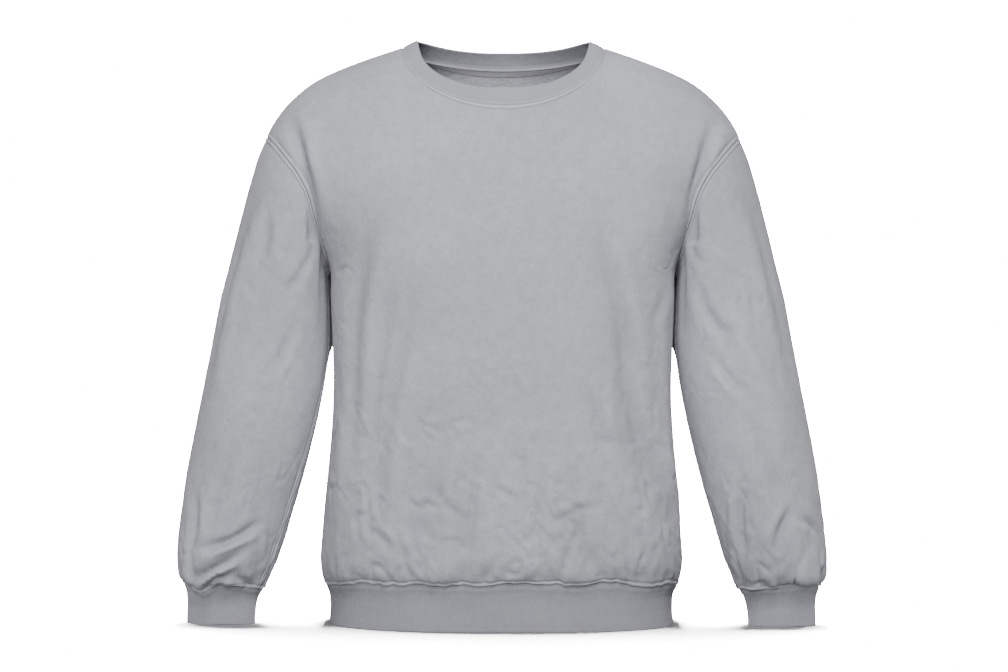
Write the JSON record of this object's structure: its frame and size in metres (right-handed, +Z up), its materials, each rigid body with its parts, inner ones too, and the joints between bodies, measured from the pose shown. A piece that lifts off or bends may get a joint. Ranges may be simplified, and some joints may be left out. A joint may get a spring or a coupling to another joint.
{
  "type": "crewneck sweatshirt",
  "caption": "Hollow worn crewneck sweatshirt in garment-dyed grey fleece, with long sleeves and doubled rib at neck, cuffs and hem.",
  "frame": {"origin": "middle of the neck opening, level with the high points of the two shoulders", "axes": "+Z up, the front faces -Y, +X towards the wearer's left sleeve"},
  "size_m": [0.7704, 0.2507, 0.6977],
  "materials": {
    "jersey": "matt brushed-back sweatshirt fleece, garment dyed",
    "rib": "matt 1x1 rib knit",
    "tape": "matt plain jersey tape"
  },
  "bodies": {
    "root": {"front": "jersey", "back": "jersey", "sleeve_left": "jersey", "sleeve_right": "jersey", "collar": "rib", "neck_tape": "tape", "hem_rib": "rib", "cuff_left": "rib", "cuff_right": "rib"}
  },
  "joints": []
}
